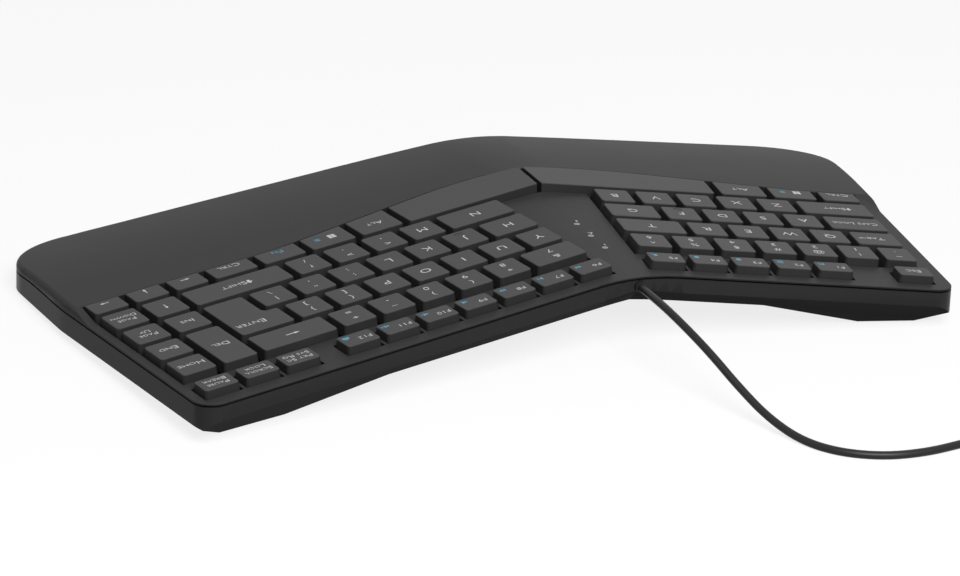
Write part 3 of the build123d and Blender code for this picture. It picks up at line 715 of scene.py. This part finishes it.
def rim_edges(bm, house):
    """Edges between the cover's top and its walls, each with its middle and whether it is outer."""
    found = []
    for edge in bm.edges:
        if len(edge.link_faces) != 2:
            continue
        first, second = (face.normal for face in edge.link_faces)
        low, high = sorted((first, second), key=lambda n: n.z)
        if high.z < top_face or abs(low.z) > wall_face:
            continue
        middle = (edge.verts[0].co + edge.verts[1].co) / 2
        out = Vector((low.x, low.y, 0.0)).normalized() * beyond_wall
        hit = house.ray_cast(middle + out + Vector((0, 0, above_wall)), Vector((0, 0, -1)))
        found.append((edge, middle, hit[0] is None))
    return found


class KEYBOARD_OT_cover(bpy.types.Operator):
    """Cover with the palm rest and the key wells, its rim and well edges rounded"""

    bl_idname = "keyboard.cover"
    bl_label = "Cover and palm rest"

    def execute(self, context):
        sizes = context.scene.keyboard_sizes
        tub = bmesh.new()
        tub.from_mesh(frame["nodes"]["bottom_cover"].data)
        house = surface(tub)
        bm = cad_copy("top_cover")
        weight = bm.edges.layers.float.new("bevel_weight_edge")
        key_frame = standing.inverted()
        for edge, middle, outer in rim_edges(bm, house):
            behind_palm = (key_frame @ middle).y > palm_end
            edge[weight] = well_round if not outer else outer_round if behind_palm else 0.0
        # Steeper faces get the darker copy of the cover's plastic: painted shade on its walls and
        # rim sides.
        for face in bm.faces:
            face.material_index = 0 if abs(face.normal.z) > cover_wall else 1
        looks = ["cover_plastic", "cover_walls_painted_shade"]
        piece = as_piece(bm, "cover", body_of("top_cover"), looks, ["top_cover"])
        bevel = piece.modifiers.new("rim", "BEVEL")
        bevel.affect, bevel.limit_method, bevel.width = "EDGES", "WEIGHT", sizes.rim_edge
        bevel.segments, bevel.profile, bevel.material = rim_steps, 0.5, -1
        bevel.use_clamp_overlap = False
        weighted(piece)
        return {"FINISHED"}


class KEYBOARD_OT_tub(bpy.types.Operator):
    """Tub with the band, the heels and the pockets"""

    bl_idname = "keyboard.tub"
    bl_label = "Tub"

    def execute(self, context):
        bm = cad_copy("bottom_cover")
        # Faces that point down get the lighter copy of the tub's plastic: painted light on the
        # underside.
        for face in bm.faces:
            face.material_index = 1 if face.normal.z < underside_painted_light else 0
        looks, node = ["tub_plastic", "underside_painted_light"], "bottom_cover"
        as_piece(bm, "tub", body_of(node), looks, [node], tub_crease)
        return {"FINISHED"}


# Inner parts. A dome stands on its sheet; under a key that is down, dome_left of it is left.

dome_height, dome_left, above_sheet = 0.0029, 0.00036, 0.0005


def dress(node, finish):
    """Gives a CAD node its material."""
    node.data.materials.clear()
    node.data.materials.append(finishes[finish])


def closed(bm):
    """Fills the openings of a mesh."""
    bmesh.ops.holes_fill(bm, edges=[edge for edge in bm.edges if edge.is_boundary], sides=0)
    bmesh.ops.recalc_face_normals(bm, faces=bm.faces)
    return bm


def touching(faces):
    """Splits faces into groups that hang together."""
    left, groups = set(faces), []
    while left:
        group = [left.pop()]
        for face in group:
            for edge in face.edges:
                for other in edge.link_faces:
                    if other in left:
                        left.remove(other)
                        group.append(other)
        groups.append(group)
    return groups


def dome_owners(high, table, up):
    """The indices of the faces of the domes under each key node, by a ray up from each dome."""
    caps = {node: surface(cad_copy(node)) for node in table}
    owned = {node: set() for node in table}
    for dome in touching(high):
        spots = {v for face in dome for v in face.verts}
        middle = sum((v.co for v in spots), Vector()) / len(spots) + up * dome_height
        owner = min(table, key=lambda node: caps[node].ray_cast(middle, up)[3] or 1.0)
        owned[owner].update(face.index for face in dome)
    return owned


class KEYBOARD_OT_domes(bpy.types.Operator):
    """Rubber domes, one piece for those under each key node, and the sheets that carry them"""

    bl_idname = "keyboard.domes"
    bl_label = "Rubber domes"

    def execute(self, context):
        rubber = "dome_rubber"
        for side, table in halves:
            sheet = "dome_sheet_right" if side == 1 else "dome_sheet_left"
            body, place = body_of(sheet), key_plane(side)
            flat, up = place.inverted(), place.to_3x3() @ Vector((0.0, 0.0, 1.0))
            bm = cad_copy(sheet)
            bm.faces.index_update()
            level = {v: (flat @ v.co).z for v in bm.verts}
            foot = max(level.values()) - dome_height
            line = foot + above_sheet
            high = [face for face in bm.faces if max(level[v] for v in face.verts) > line]
            for node, wanted in dome_owners(high, table, up).items():
                if not wanted:
                    raise RuntimeError(f"{node} has no dome")
                domes = bm.copy()
                others = [face for face in domes.faces if face.index not in wanted]
                bmesh.ops.delete(domes, geom=others, context="FACES")
                piece = as_piece(closed(domes), f"{node}_domes", body, rubber, [sheet])
                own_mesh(piece)
            bmesh.ops.delete(bm, geom=high, context="FACES")
            as_piece(closed(bm), f"{sheet}_base", body, rubber, [sheet])
        return {"FINISHED"}


class KEYBOARD_OT_inside(bpy.types.Operator):
    """Materials of the key frames, membranes, plates, feet, board, lenses, screws and pads"""

    bl_idname = "keyboard.inside"
    bl_label = "Inner parts"

    def execute(self, context):
        nodes = frame["nodes"]
        for side in ("right", "left"):
            dress(nodes[f"key_frame_{side}"], "frame_plastic")
            dress(nodes[f"membrane_{side}"], "membrane_film")
            dress(nodes[f"base_plate_{side}"], "plate_steel")
            dress(nodes[f"tilt_foot_{side}"], "foot_plastic")
        dress(nodes["controller_board"], "board")
        dress(nodes["indicator_lenses"], "lens_plastic")
        dress(nodes["case_screws"], "screw_steel")
        dress(nodes["rubber_feet"], "pad_rubber")
        return {"FINISHED"}


# Lock signs: the lenses lie on the ridge, flush with the bottom of the valley.

lock_signs = ((0.0293, "icon", "down"), (0.0439, "text", "A"), (0.0585, "text", "1"))
valley_depth, sign_back, sign_lift, sign_height = 0.0034, 0.0004, 0.00012, 2.1


class KEYBOARD_OT_lamp_signs(bpy.types.Operator):
    """The three lock signs on their lenses"""

    bl_idname = "keyboard.lamp_signs"
    bl_label = "Lock signs"

    def execute(self, context):
        bm = bmesh.new()
        for y, kind, sign in lock_signs:
            level = -valley_depth / cos(tent) - y * sin(split) * sin(tent) / cos(tent)
            place = standing @ Matrix.Translation((0.0, y - sign_back, level + sign_lift))
            add_print(bm, place, kind, sign, sign_height, "white")
        as_piece(bm, "lock_signs", body_of("top_cover"), inks, sharp=print_crease)
        return {"FINISHED"}


# The lead, from the gland to the plug, with the route's points of the part's source. Its coil is
# laid in half turns, each half of turn_pitch narrower or wider than the last, in two layers, and
# the last one is wider by last_gain on its way down to the plug.

lead_points = [
    (-0.030436, 0.079873, 0.032107),
    (-0.030436, 0.096857, 0.032849),
    (-0.033642, 0.114078, 0.0292),
    (-0.038642, 0.131078, 0.0226),
    (-0.044642, 0.147079, 0.0132),
    (-0.050642, 0.163078, 0.0056),
    (-0.057642, 0.180079, 0.00175),
    (-0.067642, 0.195078, 0.00175),
    (-0.083642, 0.204078, 0.00175),
    (-0.101642, 0.206078, 0.00175),
    (-0.119642, 0.203578, 0.00175),
    (-0.138642, 0.200578, 0.00195),
    (-0.157145, 0.196413, 0.00245),
    (-0.173313, 0.19116, 0.00245),
]
coil_start = Vector((-0.176642, 0.190078, 0.00245))
coil_course = radians(198.0)
coil_way = Vector((cos(coil_course), sin(coil_course), 0.0))
coil_side = Vector((coil_way.y, -coil_way.x, 0.0))
half_turns, turn_pitch, layer, inner_radius = 9, 0.0041, 0.0047, 0.011
last_gain, plug_level, into_plug = 0.0065, 0.0038, 0.0035
points_of_half = 8
plug_edge, tie_edge = 0.0004, 0.00015


def coil_points():
    """Points of the coil: in towards the middle, up one layer, and out again, and its end."""
    step = turn_pitch / 2
    inward = [inner_radius + step * (half_turns - i) for i in range(half_turns)]
    outward = [inner_radius + step * (i + 1) for i in range(half_turns - 1)]
    radii = inward + [inner_radius] + outward + [outward[-1] + last_gain]
    climbs = [0.0] * len(inward) + [layer] + [0.0] * len(outward)
    climbs.append(plug_level - coil_start.z - layer)
    points, place, sign = [], coil_start, 1
    for radius, climb in zip(radii, climbs):
        middle = place + coil_side * sign * radius
        for i in range(points_of_half):
            turn = (i + 0.5) * pi / points_of_half
            swing = coil_way * sign * sin(turn) - coil_side * sign * cos(turn)
            lift = Vector((0.0, 0.0, climb * (i + 0.5) / points_of_half))
            points.append(middle + swing * radius / cos(pi / points_of_half / 2) + lift)
        place = place + coil_side * sign * 2 * radius + Vector((0.0, 0.0, climb))
        sign = -sign
    return points, place


class KEYBOARD_OT_lead(bpy.types.Operator):
    """Lead with its coil, gland, tie and plug"""

    bl_idname = "keyboard.lead"
    bl_label = "Lead"

    def execute(self, context):
        diameter = context.scene.keyboard_sizes.lead_diameter
        turns, leaving = coil_points()
        route = [Vector(point) for point in lead_points] + turns
        route.append(leaving - coil_way * into_plug)
        curve = bpy.data.curves.new("lead", "CURVE")
        curve.dimensions = "3D"
        spline = curve.splines.new("NURBS")
        spline.points.add(len(route) - 1)
        for point, spot in zip(spline.points, route):
            point.co = (*spot, 1.0)
        spline.order_u = 3
        spline.use_endpoint_u = True
        spline.resolution_u = 6
        curve.bevel_depth = diameter / 2
        curve.bevel_resolution = 4
        curve.use_fill_caps = True
        curve.materials.append(finishes["lead_jacket"])
        lead = bpy.data.objects.new("lead", curve)
        context.scene.collection.objects.link(lead)
        root = body_of("cable")
        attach(lead, root)
        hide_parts("cable", "cable_coil")
        bm = rounded_copy("usb_plug_body", plug_edge)
        plug = as_piece(bm, "plug_grip", root, "plug_plastic", ["usb_plug_body"])
        bm = rounded_copy("coil_tie", tie_edge)
        tie = as_piece(bm, "lead_tie", root, "tie_plastic", ["coil_tie"])
        shell = frame["nodes"]["usb_plug_shell"]
        dress(shell, "plug_steel")
        dress(frame["nodes"]["cable_gland"], "lead_jacket")
        return {"FINISHED"}


# Stage: floor, lamps, world and camera. The floor and the world are white in the picture and in
# gloss, and much weaker as light on the part. The lamps are (name, place, size, power), and each
# aims at the origin.

floor_size, floor_grey, floor_seen = 6.0, 0.16, 0.82
world_seen, world_light = 0.86, 0.14
lamps = (
    ("soft box above", (0.2, 1.5, 1.45), 1.2, 60.0),
    ("soft box in front", (-1.1, -1.7, 0.8), 0.6, 1.0),
    ("soft box behind", (-0.25, 1.9, 0.3), 0.6, 3.0),
)
sensor_width, focal_length = 36.0, 169.2
eye = standing @ Vector((0.789238, 1.691275, 0.662273))
ahead = standing.to_3x3() @ Vector((-0.3821645, -0.85313198, -0.35512832))
across = standing.to_3x3() @ Vector((-0.91792769, 0.39478565, 0.03940861))


class KEYBOARD_OT_stage(bpy.types.Operator):
    """Pale floor, soft lamps, world and the photograph's camera"""

    bl_idname = "keyboard.stage"
    bl_label = "Studio"

    def execute(self, context):
        scene = context.scene
        scene.view_settings.view_transform = "Standard"
        bm = bmesh.new()
        bmesh.ops.create_grid(bm, x_segments=1, y_segments=1, size=floor_size)
        mesh = bpy.data.meshes.new("floor")
        bm.to_mesh(mesh)
        bm.free()
        ground = Finish("floor_paper", Roughness=0.9, Specular_IOR_Level=0.0)
        ground.set("Base Color", (floor_grey,) * 3)
        ground.set("Emission Color", (1.0, 1.0, 1.0))
        ground.set("Emission Strength", looked_at(ground) * floor_seen)
        clear = ground.node("ShaderNodeBsdfTransparent")
        below = ground.node("ShaderNodeNewGeometry", output="Backfacing")
        paper = Line(ground, ground.shader.outputs["BSDF"])
        one_sided = ground.node("ShaderNodeMixShader", None, {0: below, 1: paper, 2: clear})
        surface_end = ground.tree.nodes["Material Output"].inputs["Surface"]
        ground.tree.links.new(one_sided.socket, surface_end)
        mesh.materials.append(ground.material)
        floor = bpy.data.objects.new("floor", mesh)
        scene.collection.objects.link(floor)
        world = bpy.data.worlds.new("studio")
        scene.world = world
        sky = Surroundings(world)
        sky.set("Color", (1.0, 1.0, 1.0))
        sky.set("Strength", looked_at(sky) * world_seen + world_light)
        for name, spot, size, power in lamps:
            light = bpy.data.lights.new(name, "AREA")
            light.shape, light.size, light.size_y, light.energy = "RECTANGLE", size, size, power
            lamp = bpy.data.objects.new(name, light)
            lamp.location = spot
            lamp.rotation_euler = (-Vector(spot)).to_track_quat("-Z", "Y").to_euler()
            scene.collection.objects.link(lamp)
        lens = bpy.data.cameras.new("camera")
        lens.sensor_width, lens.lens = sensor_width, focal_length
        lens.clip_start, lens.clip_end = 0.05, 30.0
        camera = bpy.data.objects.new("camera", lens)
        upright = across.cross(ahead).normalized()
        turn = Matrix((across.normalized(), upright, -ahead.normalized())).transposed().to_4x4()
        camera.matrix_world = Matrix.Translation(eye) @ turn
        scene.collection.objects.link(camera)
        scene.camera = camera
        return {"FINISHED"}


class KEYBOARD_PT_panel(bpy.types.Panel):
    """Steps of the keyboard in the 3D view's sidebar"""

    bl_idname = "KEYBOARD_PT_panel"
    bl_label = "Ergonomic keyboard"
    bl_space_type = "VIEW_3D"
    bl_region_type = "UI"
    bl_category = "Keyboard"

    def draw(self, context):
        layout = self.layout
        for group in (context.scene.keyboard_finish, context.scene.keyboard_sizes):
            for name in group.__annotations__:
                layout.prop(group, name)
        for step in steps:
            layout.operator(step.bl_idname)


steps = (
    KEYBOARD_OT_lead,
    KEYBOARD_OT_caps,
    KEYBOARD_OT_prints,
    KEYBOARD_OT_cover,
    KEYBOARD_OT_tub,
    KEYBOARD_OT_domes,
    KEYBOARD_OT_inside,
    KEYBOARD_OT_lamp_signs,
    KEYBOARD_OT_stage,
)
classes = (KeyboardFinish, KeyboardSizes, *steps, KEYBOARD_PT_panel)


def register():
    for one in classes:
        bpy.utils.register_class(one)
    bpy.types.Scene.keyboard_finish = PointerProperty(type=KeyboardFinish)
    bpy.types.Scene.keyboard_sizes = PointerProperty(type=KeyboardSizes)


def unregister():
    del bpy.types.Scene.keyboard_sizes
    del bpy.types.Scene.keyboard_finish
    for one in reversed(classes):
        bpy.utils.unregister_class(one)


def main():
    """Makes every piece and the stage in order."""
    register()
    make_finishes()
    for step in steps:
        group, name = step.bl_idname.split(".")
        getattr(getattr(bpy.ops, group), name)()


if __name__ == "__main__":
    main()
